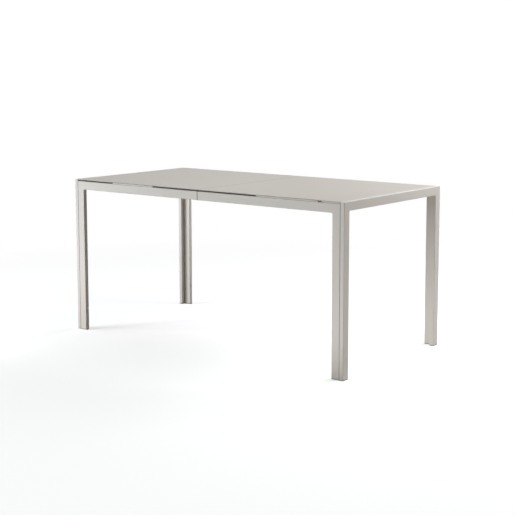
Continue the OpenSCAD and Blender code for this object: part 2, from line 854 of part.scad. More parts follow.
module latch_keeper_studs() {
    color(steel_colour) for (y = [-latch_y, latch_y]) latch_stud(stud_x, y);
}

// ---------- carriage ----------

module front_extension_bar() color(bare_colour) extension_bar();

module back_extension_bar() color(bare_colour) mirror([0, 1, 0]) extension_bar();

module front_bar_glides() color(plastic_colour) bar_glides();

module back_bar_glides() color(plastic_colour) mirror([0, 1, 0]) bar_glides();

module left_carriage_tube() color(bare_colour) mirror([1, 0, 0]) carriage_cross_tube();

module right_carriage_tube() color(bare_colour) carriage_cross_tube();

module pinion_plate() color(bare_colour) pinion_carrier();

module pinion_pin() color(steel_colour) headed_pin();

// Screws of the pinion plate, from above, and of the leaf ledges, from below
module carriage_screws() {
    color(steel_colour) for (x = [-carriage_x, carriage_x], side = [0, 1])
        mirror([0, side, 0]) {
            translate([x, plate_screw_y, plate_z + plate_t]) screw(4.5, 2.3, m5_r, plate_t + 2);
            translate([x, ledge_y + ledge_flange / 2, carriage_z - ledge_t])
                rotate([180, 0, 0]) screw(4.5, 2.3, m5_r, ledge_t + 2);
        }
}

module front_leaf_ledge() color(bare_colour) mirror([0, 1, 0]) leaf_ledge();

module back_leaf_ledge() color(bare_colour) leaf_ledge();

module pinion() {
    color(plastic_colour) translate([0, 0, gear_z]) difference() {
        linear_extrude(pinion_t) polygon(pinion_outline());
        translate([0, 0, -cut]) cylinder(r = pin_r + pin_gap, h = pinion_t + 2 * cut);
    }
}

// ---------- insert leaf ----------

module leaf_panel() {
    color(top_colour) translate([0, -leaf_w / 2, leaf_z + batten_h - panel_z])
        rotate([0, 0, 90]) panel(leaf_w);
}

module left_outer_leaf_batten() color(bare_colour) leaf_batten(-outer_batten_x);

module left_inner_leaf_batten() color(bare_colour) leaf_batten(-inner_batten_x);

module right_inner_leaf_batten() color(bare_colour) leaf_batten(inner_batten_x);

module right_outer_leaf_batten() color(bare_colour) leaf_batten(outer_batten_x);

// ---------- latches, swung clear of the seam ----------

module front_latch_lever() {
    color(steel_colour) translate([-stud_x, -latch_y, lever_z]) rotate([0, 0, 90]) lever();
}

module back_latch_lever() color(steel_colour) mirror([0, 1, 0]) front_latch_lever();

left_end_frame();
front_left_side_frame();
back_left_side_frame();
left_top_panel();
left_inner_cross_bar();
left_outer_cross_bar();
left_inner_panel_pad();
left_outer_panel_pad();
left_seam_bar();
left_end_ledge();
front_left_spacer_strip();
back_left_spacer_strip();
left_gear_rack();
front_left_rail_guide();
back_left_rail_guide();
left_end_leg_feet();
left_side_leg_feet();
left_frame_screws();
left_cross_bar_screws();
latch_pivot_studs();
right_end_frame();
front_right_side_frame();
back_right_side_frame();
right_top_panel();
right_inner_cross_bar();
right_outer_cross_bar();
right_inner_panel_pad();
right_outer_panel_pad();
right_seam_bar();
right_end_ledge();
front_right_spacer_strips();
back_right_spacer_strips();
right_gear_rack();
front_right_rail_guide();
back_right_rail_guide();
right_end_leg_feet();
right_side_leg_feet();
right_frame_screws();
right_cross_bar_screws();
latch_keeper_studs();
front_extension_bar();
back_extension_bar();
front_bar_glides();
back_bar_glides();
left_carriage_tube();
right_carriage_tube();
pinion_plate();
pinion_pin();
carriage_screws();
front_leaf_ledge();
back_leaf_ledge();
pinion();
leaf_panel();
left_outer_leaf_batten();
left_inner_leaf_batten();
right_inner_leaf_batten();
right_outer_leaf_batten();
front_latch_lever();
back_latch_lever();
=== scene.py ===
import math

import bmesh
import bpy
from mathutils import Matrix, Vector


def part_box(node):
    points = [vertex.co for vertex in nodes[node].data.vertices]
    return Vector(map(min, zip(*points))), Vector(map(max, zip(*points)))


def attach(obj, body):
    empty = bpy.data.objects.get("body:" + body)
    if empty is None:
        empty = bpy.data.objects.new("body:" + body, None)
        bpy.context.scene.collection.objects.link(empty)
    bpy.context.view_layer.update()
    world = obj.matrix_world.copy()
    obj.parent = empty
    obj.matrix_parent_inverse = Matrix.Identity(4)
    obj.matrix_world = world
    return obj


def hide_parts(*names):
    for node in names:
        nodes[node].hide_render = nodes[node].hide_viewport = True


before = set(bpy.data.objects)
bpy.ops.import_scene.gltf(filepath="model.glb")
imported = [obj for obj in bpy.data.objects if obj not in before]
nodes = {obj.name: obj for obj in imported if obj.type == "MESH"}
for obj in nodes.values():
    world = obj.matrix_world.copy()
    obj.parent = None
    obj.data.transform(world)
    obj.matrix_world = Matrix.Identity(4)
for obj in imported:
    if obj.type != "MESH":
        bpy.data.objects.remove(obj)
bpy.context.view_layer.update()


# ---------- camera ----------
# Stands about 5.4 m from the middle of the table, off its front right corner and 1.3 m above
# the floor, and looks down by about seven degrees through a long lens.
def added(name, data):
    """New object in the scene, made of this mesh, curve, camera or light."""
    made = bpy.data.objects.new(name, data)
    bpy.context.scene.collection.objects.link(made)
    return made


tilt_down, turned_left = 6.945, 37.575
camera_data = bpy.data.cameras.new("camera")
camera_data.sensor_width = 36
camera_data.lens = 79.72
camera_data.shift_x = -0.0204
camera_data.shift_y = -0.1019
camera = added("camera", camera_data)
camera.location = (3.3836, -4.2715, 1.3092)
camera.rotation_euler = (math.radians(90 - tilt_down), 0, math.radians(turned_left))
bpy.context.scene.camera = camera
bpy.context.scene.view_settings.view_transform = "Standard"


# ---------- powder-coated frames ----------
# Two end frames and four half side frames of 40 x 20 mm aluminium tube, mitred, welded and
# ground. The warm grey powder coat has a fine orange-peel skin and a satin gloss. It is paler
# along worn edges and scuffed near the floor; the top faces carry a painted highlight and the
# groove between the legs of each corner carries painted shade.
class Value:
    """An output of one of a finish's nodes. Sums and products of it add Math nodes."""

    def __init__(self, socket):
        self.socket = socket

    def node(self, kind, settings, inputs, output=0):
        """Adds a node of any other kind: its settings first, then its inputs."""
        made = self.socket.id_data.nodes.new(kind)
        for name, setting in settings.items():
            if name == "stops":
                ramp = made.color_ramp.elements
                while len(ramp) < len(setting):
                    ramp.new(0.5)
                for stop, (position, level) in zip(ramp, setting):
                    stop.position = position
                    stop.color = (level, level, level, 1)
            else:
                setattr(made, name, setting)
        for name, given in inputs.items():
            if isinstance(given, Value):
                made.id_data.links.new(given.socket, made.inputs[name])
            else:
                made.inputs[name].default_value = given
        return Value(made.outputs[output])

    def math(self, operation, first, second=0.0):
        """Result of a Math node."""
        return self.node("ShaderNodeMath", {"operation": operation}, {0: first, 1: second})

    def __add__(self, other):
        return self.math("ADD", self, other)

    def __sub__(self, other):
        return self.math("SUBTRACT", self, other)

    def __rsub__(self, other):
        return self.math("SUBTRACT", other, self)

    def __mul__(self, other):
        return self.math("MULTIPLY", self, other)

    __radd__ = __add__
    __rmul__ = __mul__

    def stretched(self, *scale):
        """These coordinates, multiplied along X, Y and Z."""
        return self.node("ShaderNodeMapping", {}, {"Vector": self, "Scale": scale})

    def noise(self, scale, detail=2.0):
        """Soft mottling of so many spots a metre at these coordinates."""
        return self.node("ShaderNodeTexNoise", {},
                         {"Vector": self, "Scale": scale, "Detail": detail})

    def ramp(self, low, high):
        """0 below low and 1 above high."""
        return self.node("ShaderNodeValToRGB", {"stops": [(low, 0), (high, 1)]}, {"Fac": self})

    def between(self, low, high):
        """Colour that goes from low to high as this value goes from 0 to 1."""
        low = low if isinstance(low, Value) else (*low, 1)
        high = high if isinstance(high, Value) else (*high, 1)
        return self.node("ShaderNodeMix", {"data_type": "RGBA"}, {0: self, 6: low, 7: high}, 2)

    def part(self, axis):
        """One of X, Y and Z of these coordinates."""
        return self.node("ShaderNodeSeparateXYZ", {}, {"Vector": self}, axis)

    def line(self, axis, at, clear, faded):
        """1 within clear of a place on this axis, on both sides of the middle, and 0 past
        faded. at is in metres, clear and faded are in millimetres."""
        side = self.math("ABSOLUTE", self.part(axis))
        away = self.math("ABSOLUTE", side - at)
        return 1 - (away * 100).ramp(clear / 10, faded / 10)

    def edges(self, radius):
        """1 along sharp edges and 0 on flat faces, with so wide a band beside each edge."""
        rounded = self.node("ShaderNodeBevel", {"samples": 4}, {"Radius": radius})
        flat = self.node("ShaderNodeNewGeometry", {}, {}, "True Normal")
        agree = self.node("ShaderNodeVectorMath", {"operation": "DOT_PRODUCT"},
                          {0: rounded, 1: flat}, "Value")
        return (1 - agree).ramp(0.01, 0.22)


def new_finish(name, constants, vary, radius=0.0):
    """Material whose fixed numbers go on the shader's own sockets. vary is given the object's
    coordinates and returns what changes over the surface: colour, roughness, bump height and
    bump depth. Edges are softened by the radius."""
    made = bpy.data.materials.new(name)
    made.use_nodes = True
    tree = made.node_tree
    shader = tree.nodes["Principled BSDF"]
    for socket, number in constants.items():
        shader.inputs[socket].default_value = number
    place = Value(tree.nodes.new("ShaderNodeTexCoord").outputs["Object"])
    colour, roughness, height, depth = vary(place)
    relief = {"Height": height, "Distance": depth}
    if radius:
        relief["Normal"] = place.node("ShaderNodeBevel", {"samples": 4}, {"Radius": radius})
    relief = place.node("ShaderNodeBump", {}, relief)
    tree.links.new(colour.socket, shader.inputs["Base Color"])
    tree.links.new(roughness.socket, shader.inputs["Roughness"])
    tree.links.new(relief.socket, shader.inputs["Normal"])
    return made


def give(finish, *names):
    """Puts a finish on CAD nodes."""
    for name in names:
        nodes[name].material_slots[0].material = finish


coat_light = (0.640, 0.607, 0.556)
coat_dark = (0.604, 0.572, 0.522)
# Paler coat for worn edges and scratches, and for the painted highlight on the top faces.
pale_wear_and_highlight = (0.780, 0.750, 0.705)
coat_scuff = (0.400, 0.370, 0.330)
# Dark colour painted as shade into the groove between the legs and into the top's seam.
painted_groove_shade = (0.200, 0.183, 0.162)
groove_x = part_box("right_end_frame")[0][0]
groove_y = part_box("right_end_frame")[1][1]
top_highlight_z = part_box("right_end_frame")[1][2] - 0.0008
scuffed_z = 0.10


def coat_detail(place):
    cloud = place.noise(3.0, 3.0)
    peel = place.noise(420.0, 1.0)
    speck = place.noise(1500.0, 0.0)
    edge = place.edges(0.0018)
    # Painted highlight: the top faces of the end frames are painted paler, as if light caught
    # them.
    top_highlight = ((place.part(2) - top_highlight_z) * 100).ramp(0.0, 0.05)
    marks = place.stretched(1.0, 1.0, 5.0).noise(55.0, 4.0).ramp(0.57, 0.72)
    scuff = (scuffed_z - place.part(2)).ramp(0.0, 0.09) * marks
    # Painted shade: a dark line down the groove where the end frame's leg meets the side frame's.
    groove = place.line(0, groove_x, 1.0, 1.6) * place.line(1, groove_y, 1.2, 2.0)
    colour = (cloud * 0.5 + speck * 0.5).between(coat_dark, coat_light)
    colour = (edge * 0.3).between(colour, pale_wear_and_highlight)
    colour = (top_highlight * 0.7).between(colour, pale_wear_and_highlight)
    colour = (scuff * 0.12).between(colour, coat_scuff)
    colour = (groove * 0.9).between(colour, painted_groove_shade)
    roughness = cloud * 0.10 + peel * 0.06 + 0.36 + scuff * 0.15 - edge * 0.05
    return colour, roughness, peel + speck * 0.3, 0.00012


powder_coat = new_finish("powder_coat", {"IOR": 1.5}, coat_detail, radius=0.0012)
give(powder_coat, "left_end_frame", "right_end_frame", "front_left_side_frame",
     "back_left_side_frame", "front_right_side_frame", "back_right_side_frame")


# ---------- feet ----------
# Eight moulded feet in the coat's grey, tapped into the ends of the leg tubes. Barbs on each
# hollow plug grip the tube, a small chamfer parts the flange from it, and the sole is sunk.
def start(name, add, **size):
    """Adds a primitive under this name and opens it with nothing on it selected."""
    bpy.ops.object.select_all(action="DESELECT")
    add(**size)
    made = bpy.context.object
    made.name = made.data.name = name
    bpy.ops.object.transform_apply(location=True, rotation=True, scale=True)
    bpy.ops.object.mode_set(mode="EDIT")
    bpy.ops.mesh.select_all(action="DESELECT")
    return made


def pick(kind, wanted):
    """Selects the faces or edges of the open shape that wanted is true for, and no others.
    wanted is given the middle, and the face's normal or the edge's direction."""
    bpy.ops.mesh.select_mode(type=kind)
    bpy.ops.mesh.select_all(action="DESELECT")
    mesh = bpy.context.object.data
    shape = bmesh.from_edit_mesh(mesh)
    if kind == "FACE":
        for face in shape.faces:
            face.select_set(bool(wanted(face.calc_center_median(), face.normal)))
    else:
        for edge in shape.edges:
            first, last = (point.co for point in edge.verts)
            edge.select_set(bool(wanted((first + last) / 2, (last - first).normalized())))
    bmesh.update_edit_mesh(mesh)


def raised(height, wider=(1, 1)):
    """Extrudes the selected faces upwards and makes them so much wider, in X and in Y, about
    the Z axis."""
    bpy.ops.mesh.extrude_region_move(TRANSFORM_OT_translate={"value": (0, 0, height)})
    if wider != (1, 1):
        bpy.ops.transform.resize(value=(*wider, 1), center_override=(0, 0, 0))


def finished(made, angle=35):
    """Closes the shape, turns its faces outwards and smooths all but its sharp edges."""
    bpy.ops.mesh.select_all(action="SELECT")
    bpy.ops.mesh.normals_make_consistent(inside=False)
    bpy.ops.object.mode_set(mode="OBJECT")
    bpy.ops.object.shade_smooth_by_angle(angle=math.radians(angle))
    return made


def joined(shapes, name):
    """Makes finished shapes one piece."""
    bpy.ops.object.select_all(action="DESELECT")
    for shape in shapes:
        shape.select_set(True)
        bpy.context.view_layer.objects.active = shape
    if len(shapes) > 1:
        bpy.ops.object.join()
    made = bpy.context.view_layer.objects.active
    made.name = made.data.name = name
    return made


def placed(model, name, places):
    """Puts a copy of a finished model at each place and joins them into one piece."""
    copies = []
    for place in places:
        mesh = model.data.copy()
        mesh.transform(place)
        copies.append(added(name, mesh))
    return joined(copies, name)


def dress(piece, finish, slot, body, *replaced):
    """Gives a new piece its finish and its body, and hides the CAD nodes it stands for."""
    piece.data.materials.clear()
    piece.data.materials.append(finish)
    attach(piece, body)
    if replaced:
        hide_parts(*replaced)


def low_and_high(name):
    """Lowest and highest corner of a CAD node."""
    return [Vector(corner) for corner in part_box(name)]


def foot_detail(place):
    skin = place.noise(1100.0, 2.0)
    cloud = place.noise(35.0, 3.0)
    scuff = place.noise(90.0, 5.0).ramp(0.52, 0.72)
    edge = place.edges(0.0008)
    colour = cloud.between((0.385, 0.368, 0.338), (0.430, 0.412, 0.380))
    colour = (scuff * 0.4 + edge * 0.3).between(colour, (0.52, 0.50, 0.47))
    return colour, skin * 0.12 + scuff * 0.12 + 0.46, skin, 0.00012


grey_plastic = new_finish("grey_plastic", {"IOR": 1.5}, foot_detail)
foot_w, foot_d, foot_h, foot_corner_r = 0.0398, 0.0198, 0.005, 0.0020
plug_h, plug_inset, plug_wall, plug_floor = 0.018, 0.0023, 0.0015, 0.0010
plug_w, plug_d = foot_w - 2 * plug_inset, foot_d - 2 * plug_inset
neck_h, barb, barb_count = 0.0022, 0.0003, 4
sole_rim, sole_slope, sole_sink = 0.0030, 0.0006, 0.0010
tiny = 0.0001

foot = start("foot", bpy.ops.mesh.primitive_cube_add, size=1, location=(0, 0, foot_h / 2),
             scale=(foot_w, foot_d, foot_h))
pick("FACE", lambda middle, normal: normal.z > 0.9)
bpy.ops.mesh.inset(thickness=plug_inset)
raised(neck_h)
out = (1 + 2 * barb / plug_w, 1 + 2 * barb / plug_d)
back = (1 / out[0], 1 / out[1])
# Each barb steps out, runs straight, slopes back in and runs straight again.
barb_steps = ((0.0002, out), (0.0010, (1, 1)), (0.0012, back), (0.0010, (1, 1)))
for rise, wider in barb_count * barb_steps:
    raised(rise, wider)
barbs_h = barb_count * sum(step[0] for step in barb_steps)
raised(plug_h - neck_h - barbs_h, (0.985, 0.965))
bpy.ops.mesh.inset(thickness=plug_wall)
raised(plug_floor - plug_h, (0.97, 0.94))
pick("FACE", lambda middle, normal: normal.z < -0.9 and middle.z < tiny)
bpy.ops.mesh.inset(thickness=sole_rim)
bpy.ops.mesh.inset(thickness=sole_slope, depth=-sole_sink)
pick("EDGE", lambda middle, along: abs(along.z) > 0.9 and abs(middle.x) > foot_w / 2 - tiny
     and abs(middle.y) > foot_d / 2 - tiny)
bpy.ops.mesh.bevel(offset=foot_corner_r, segments=4)


def on_outline(middle):
    """True for a point on the flange's rounded outline."""
    past_x = max(abs(middle.x) - foot_w / 2 + foot_corner_r, 0)
    past_y = max(abs(middle.y) - foot_d / 2 + foot_corner_r, 0)
    return abs(math.hypot(past_x, past_y) - foot_corner_r) < tiny


for rim_z, chamfer, steps in ((0, 0.0007, 2), (foot_h, 0.0005, 1)):
    pick("EDGE", lambda middle, along: abs(along.z) < 0.1 and abs(middle.z - rim_z) < tiny
         and on_outline(middle))
    bpy.ops.mesh.bevel(offset=chamfer, segments=steps)
finished(foot)
for half in ("left", "right"):
    for pair, turn in (("end", 90), ("side", 0)):
        name = half + "_" + pair + "_leg_feet"
        low, high = low_and_high(name)
        half_d = (foot_w if turn else foot_d) / 2
        x = (low.x + high.x) / 2
        places = [Matrix.Translation((x, y, 0)) @ Matrix.Rotation(math.radians(turn), 4, "Z")
                  for y in (low.y + half_d, high.y - half_d)]
        dress(placed(foot, half + "_" + pair + "_moulded_feet", places), grey_plastic,
              "grey_plastic", half + "_half", name)
bpy.data.objects.remove(foot)


# ---------- screws ----------
# Zinc-plated steel screws with domed heads and hexagonal sockets: long ones join the two legs
# of each corner, and short ones hold the cross bars between the side rails.
def zinc_detail(place):
    spangle = place.noise(160.0, 3.0)
    stain = place.noise(45.0, 2.0)
    edge = place.edges(0.0005)
    colour = stain.between((0.46, 0.47, 0.51), (0.60, 0.575, 0.51))
    colour = (edge * 0.5).between(colour, (0.74, 0.74, 0.74))
    return colour, spangle * 0.25 + 0.20 - edge * 0.08, spangle, 0.00006


zinc_steel = new_finish("zinc_steel", {"IOR": 1.5, "Metallic": 1.0}, zinc_detail)


def only(shape):
    """Selects this shape and no other, and works on it from here on."""
    bpy.ops.object.select_all(action="DESELECT")
    shape.select_set(True)
    bpy.context.view_layer.objects.active = shape


def cut_out(piece, cutter):
    """Cuts the second shape out of the first and throws it away."""
    cut = piece.modifiers.new("cut", "BOOLEAN")
    cut.operation = "DIFFERENCE"
    cut.solver = "EXACT"
    cut.object = cutter
    only(piece)
    bpy.ops.object.modifier_apply(modifier=cut.name)
    bpy.data.objects.remove(cutter)


def new_screw(name, head_r, head_h, shank_r, shank_l):
    """Screw whose head stands on z = 0 and faces +Z."""
    rim_h, point_h, chamfer = 0.3 * head_h, 0.6 * shank_r, 0.0002
    socket_r, socket_middle, socket_tip_h = 0.74 * shank_r, 0.9 * head_h, 0.25 * shank_r
    made = start(name, bpy.ops.mesh.primitive_cylinder_add, vertices=24, radius=head_r,
                 depth=rim_h, location=(0, 0, rim_h / 2))
    pick("FACE", lambda middle, normal: normal.z > 0.9)
    for lift, width in ((0.22, 0.965), (0.20, 0.90), (0.16, 0.82), (0.12, 0.78)):
        raised(head_h * lift, (width, width))
    pick("FACE", lambda middle, normal: normal.z < -0.9)
    bpy.ops.mesh.inset(thickness=head_r - shank_r)
    raised(point_h - shank_l)
    raised(-point_h, (0.7, 0.7))
    pick("EDGE", lambda middle, along: abs(along.z) < 0.1 and abs(middle.z) < tiny
         and middle.xy.length > head_r * 0.97)
    bpy.ops.mesh.bevel(offset=chamfer, segments=1)
    finished(made)
    key = start("key", bpy.ops.mesh.primitive_cylinder_add, vertices=6, radius=socket_r,
                depth=head_h, location=(0, 0, socket_middle))
    pick("FACE", lambda middle, normal: normal.z < -0.9)
    raised(-socket_tip_h, (0.35, 0.35))
    finished(key)
    cut_out(made, key)
    bpy.ops.object.shade_smooth_by_angle(angle=math.radians(35))
    return made


def facing(place, turn, axis):
    """Place of a piece that is turned by so many degrees about an axis."""
    return Matrix.Translation(place) @ Matrix.Rotation(math.radians(turn), 4, axis)


long_head_r, long_head_h, long_shank_r, long_shank_l = 0.0055, 0.0030, 0.0029, 0.048
short_head_r, short_head_h, short_shank_r, short_shank_l = 0.00375, 0.0022, 0.00195, 0.0046
short_screw_dx = 0.016
long_screw = new_screw("long_screw", long_head_r, long_head_h, long_shank_r, long_shank_l)
short_screw = new_screw("short_screw", short_head_r, short_head_h, short_shank_r,
                        short_shank_l)
for half, side in (("left", -1), ("right", 1)):
    low, high = low_and_high(half + "_frame_screws")
    head_x = (high.x if half == "left" else low.x) + side * long_head_h
    places = [facing((head_x, y, z), -90 * side, "Y")
              for y in (low.y + long_head_r, high.y - long_head_r)
              for z in (low.z + long_head_r, high.z - long_head_r)]
    dress(placed(long_screw, half + "_corner_screws", places), zinc_steel, "zinc_steel",
          half + "_half", half + "_frame_screws")
    low, high = low_and_high(half + "_cross_bar_screws")
    places = []
    for bar in ("_inner_cross_bar", "_outer_cross_bar"):
        bar_low, bar_high = low_and_high(half + bar)
        x = (bar_low.x + bar_high.x) / 2
        for dx in (-short_screw_dx, short_screw_dx):
            for z in (low.z + short_head_r, high.z - short_head_r):
                places.append(facing((x + dx, low.y + short_shank_l, z), -90, "X"))
                places.append(facing((x + dx, high.y - short_shank_l, z), 90, "X"))
    dress(placed(short_screw, half + "_bar_screws", places), zinc_steel, "zinc_steel",
          half + "_half", half + "_cross_bar_screws")
bpy.data.objects.remove(long_screw)
bpy.data.objects.remove(short_screw)


# ---------- rail guides and bar glides ----------
# Plastic liners in the mouths of the side rails and glides on the ends of the bars, moulded
# with a spark-eroded skin that is duller where it rubs.
def plastic_detail(place):
    skin = place.noise(900.0, 2.0)
    scuff = place.noise(40.0, 5.0).ramp(0.55, 0.7)
    edge = place.edges(0.0006)
    colour = (scuff * 0.6 + edge * 0.5).between((0.022, 0.020, 0.019), (0.055, 0.052, 0.049))
    return colour, skin * 0.15 + scuff * 0.15 + 0.38, skin, 0.0001


def nylon_detail(place):
    mill = place.stretched(1.0, 1.0, 20.0).noise(120.0, 3.0)
    cloud = place.noise(30.0, 2.0)
    edge = place.edges(0.0006)
    colour = cloud.between((0.270, 0.268, 0.252), (0.345, 0.342, 0.322))
    colour = (edge * 0.4).between(colour, (0.46, 0.455, 0.43))
    return colour, mill * 0.2 + 0.32, mill, 0.0001


black_plastic = new_finish("black_plastic", {"IOR": 1.5}, plastic_detail)
grey_nylon = new_finish("grey_nylon", {"IOR": 1.53}, nylon_detail)
give(black_plastic, "front_left_rail_guide", "back_left_rail_guide", "front_right_rail_guide",
     "back_right_rail_guide")
give(grey_nylon, "front_bar_glides", "back_bar_glides")


# ---------- top panels and spacer strips ----------
# Aluminium sheets 4 mm thick in the same grey, coated lying down, so that their skin is
# smoother than the frames'. Wiping has left faint streaks and hairline scratches. The strips
# in the shadow gap are coated extrusions.
top_light = (0.590, 0.550, 0.489)
top_dark = (0.560, 0.520, 0.461)


def top_detail(place):
    cloud = place.noise(2.2, 3.0)
    peel = place.noise(260.0, 1.0)
    wipe = place.stretched(1.0, 9.0, 1.0).noise(22.0, 4.0).ramp(0.46, 0.72)
    hair = place.stretched(1.0, 60.0, 1.0).noise(40.0, 6.0).ramp(0.66, 0.72)
    edge = place.edges(0.0014)
    colour = (cloud * 0.7 + peel * 0.3).between(top_dark, top_light)
    colour = (edge * 0.35).between(colour, pale_wear_and_highlight)
    colour = (hair * 0.07).between(colour, pale_wear_and_highlight)
    roughness = cloud * 0.10 + wipe * 0.06 + hair * 0.08 + 0.37 - edge * 0.05
    return colour, roughness, peel, 0.00008


def seam_shade_detail(place):
    """The same coat with painted shade in the seam where the two halves of the top meet."""
    colour, roughness, height, depth = top_detail(place)
    # Painted shade: a dark line along the seam between the two panels.
    seam = place.line(0, 0, 0.8, 2.4)
    colour = (seam * 0.85).between(colour, painted_groove_shade)
    return colour, roughness + seam * 0.2, height, depth


top_coat = new_finish("top_coat", {"IOR": 1.5}, seam_shade_detail, radius=0.0008)
leaf_coat = new_finish("leaf_coat", {"IOR": 1.5}, top_detail, radius=0.0008)
give(top_coat, "left_top_panel", "right_top_panel")
give(leaf_coat, "leaf_panel")
give(powder_coat, "front_left_spacer_strip", "back_left_spacer_strip",
     "front_right_spacer_strips", "back_right_spacer_strips")


# ---------- shadow gap seals ----------
# Extruded black rubber seals, with two fins above a flat base, stand on the side rails behind
# the open stretches of the shadow gap as painted shade, so that the gap reads dark all along.
def rubber_detail(place):
    grain = place.noise(1200.0, 2.0)
    bloom = place.noise(18.0, 4.0)
    colour = bloom.between((0.018, 0.018, 0.018), (0.040, 0.039, 0.038))
    return colour, grain * 0.2 + 0.6, grain, 0.0001


rubber_pad = new_finish("rubber_pad", {"IOR": 1.52}, rubber_detail)


def new_gap_shade_seal(first_x, last_x, base_z, gap):
    """Length of black seal along the X axis, which fills a gap that starts at base_z and stands
    in as painted shade.
    """
    base_w, base_h, fins_w, air, rounding = 0.0060, 0.0014, 0.0050, 0.0002, 0.0003
    made = start("seal", bpy.ops.mesh.primitive_cube_add, size=1,
                 location=((first_x + last_x) / 2, 0, base_z + base_h / 2),
                 scale=(last_x - first_x, base_w, base_h))
    pick("FACE", lambda middle, normal: normal.z > 0.9)
    bpy.ops.mesh.subdivide(number_cuts=4)
    pick("FACE", lambda middle, normal: normal.z > 0.9 and abs(middle.y) > base_w / 10)
    raised(gap - base_h - air, (1, fins_w / base_w))
    pick("EDGE", lambda middle, along: abs(along.x) > 0.9
         and middle.z > base_z + gap - air - tiny)
    bpy.ops.mesh.bevel(offset=rounding, segments=2)
    return finished(made)


rail_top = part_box("left_seam_bar")[0][2]
shadow_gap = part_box("left_seam_bar")[1][2] - rail_top
seal_y, seal_start_x, seal_end_x, strip_gap = 0.3875, 0.0030, 0.7395, 0.0005
for half, side in (("left", -1), ("right", 1)):
    seam_end, leg_end = side * seal_start_x, side * seal_end_x
    strips = "front_left_spacer_strip" if half == "left" else "front_right_spacer_strips"
    strip_low, strip_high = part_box(strips)
    stretches = [(seam_end, strip_low[0] - strip_gap)]
    if half == "left":
        stretches = [(leg_end, strip_low[0] - strip_gap), (strip_high[0] + strip_gap, seam_end)]
    model = joined([new_gap_shade_seal(min(ends), max(ends), rail_top, shadow_gap)
                    for ends in stretches], "seal")
    places = [Matrix.Translation((0, y, 0)) for y in (-seal_y, seal_y)]
    dress(placed(model, half + "_gap_shade_seals", places), rubber_pad, "rubber_pad", half + "_half")
    bpy.data.objects.remove(model)


# ---------- cross bars, bars under the panels, and carriage ----------
# Aluminium as it comes from the press: fine die lines run along each length, with dull oxide
# between them. Each cross bar's end plates are welded on with a bead along three sides.
bare_light = (0.62, 0.63, 0.64)
bare_dark = (0.42, 0.425, 0.43)


def new_bare(name, *along):
    """Bare aluminium whose die lines are as fine along X, Y and Z as these numbers say."""
    def bare_detail(place):
        lines = place.stretched(*along).noise(60.0, 4.0)
        oxide = place.noise(25.0, 4.0)
        edge = place.edges(0.0008)
        colour = (lines * 0.6 + oxide * 0.4).between(bare_dark, bare_light)
        colour = (edge * 0.5).between(colour, (0.74, 0.75, 0.76))
        return colour, oxide * 0.25 + lines * 0.1 + 0.24, lines, 0.0002

    return new_finish(name, {"IOR": 1.5, "Metallic": 1.0}, bare_detail)


bare_along_x = new_bare("mill_aluminium_along_x", 0.05, 12.0, 12.0)
bare_along_y = new_bare("mill_aluminium_along_y", 12.0, 0.05, 12.0)
weld_metal = new_bare("mill_aluminium_weld", 6.0, 6.0, 6.0)
give(bare_along_y, "left_inner_cross_bar", "left_outer_cross_bar", "right_inner_cross_bar",
     "right_outer_cross_bar", "left_seam_bar", "right_seam_bar", "left_end_ledge",
     "right_end_ledge", "left_carriage_tube", "right_carriage_tube",
     "left_outer_leaf_batten", "left_inner_leaf_batten", "right_inner_leaf_batten",
     "right_outer_leaf_batten")
give(bare_along_x, "front_extension_bar", "back_extension_bar", "pinion_plate",
     "front_leaf_ledge", "back_leaf_ledge")


def bead(name, bends, radius, step):
    """Weld bead through these points, with a ripple at each step along it."""
    line = bpy.data.curves.new(name, "CURVE")
    line.dimensions = "3D"
    line.bevel_depth = radius
    line.bevel_resolution = 2
    line.use_fill_caps = True
    points = []
    for first, last in zip(bends, bends[1:]):
        count = max(2, round((last - first).length / step))
        points += [first.lerp(last, number / count) for number in range(count)]
    points.append(bends[-1])
    run = line.splines.new("POLY")
    run.points.add(len(points) - 1)
    for number, (point, place) in enumerate(zip(run.points, points)):
        point.co = (*place, 1)
        point.radius = (1.0, 0.86, 0.72)[number % 3]
    made = added(name, line)
    only(made)
    bpy.ops.object.convert(target="MESH")
    bpy.ops.object.mode_set(mode="EDIT")
    bpy.ops.mesh.select_all(action="SELECT")
    bpy.ops.mesh.remove_doubles(threshold=0.000001)
    return finished(made, 60)


bead_r, ripple, bead_out, bead_off_plate, bead_below_top = 0.0015, 0.0007, 0.0006, 0.0003, 0.0016
bar_half_w, bar_lift, end_plate_t = 0.010, 0.001, 0.003
carriage_low = low_and_high("right_carriage_tube")[0]
bead_x, bead_low = bar_half_w + bead_out, carriage_low.z + bar_lift - bead_out
bead_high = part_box("right_outer_cross_bar")[1][2] - bead_below_top
bar_bead = bead("bar_bead", [Vector((-bead_x, 0, bead_high)), Vector((-bead_x, 0, bead_low)),
                             Vector((bead_x, 0, bead_low)), Vector((bead_x, 0, bead_high))],
                bead_r, ripple)
for half in ("left", "right"):
    for bar in ("inner", "outer"):
        low, high = low_and_high(half + "_" + bar + "_cross_bar")
        x, inset = (low.x + high.x) / 2, end_plate_t + bead_off_plate
        places = [Matrix.Translation((x, y, 0)) for y in (low.y + inset, high.y - inset)]
        dress(placed(bar_bead, half + "_" + bar + "_bar_welds", places), weld_metal,
              "mill_aluminium", half + "_half")
bpy.data.objects.remove(bar_bead)


# ---------- panel pads ----------
# Rubber strips between the cross bars and the panels, cut from sheet, with a fine matt grain
# and a pale bloom.
give(rubber_pad, "left_inner_panel_pad", "left_outer_panel_pad", "right_inner_panel_pad",
     "right_outer_panel_pad")


# ---------- racks, pinion and pin ----------
# Grey nylon, milled from sheet, a little greasy at the teeth. The pinion has a sunk web with
# six holes between its hub and its rim, and turns on a headed steel pin with a sunk centre.
give(grey_nylon, "left_gear_rack", "right_gear_rack")


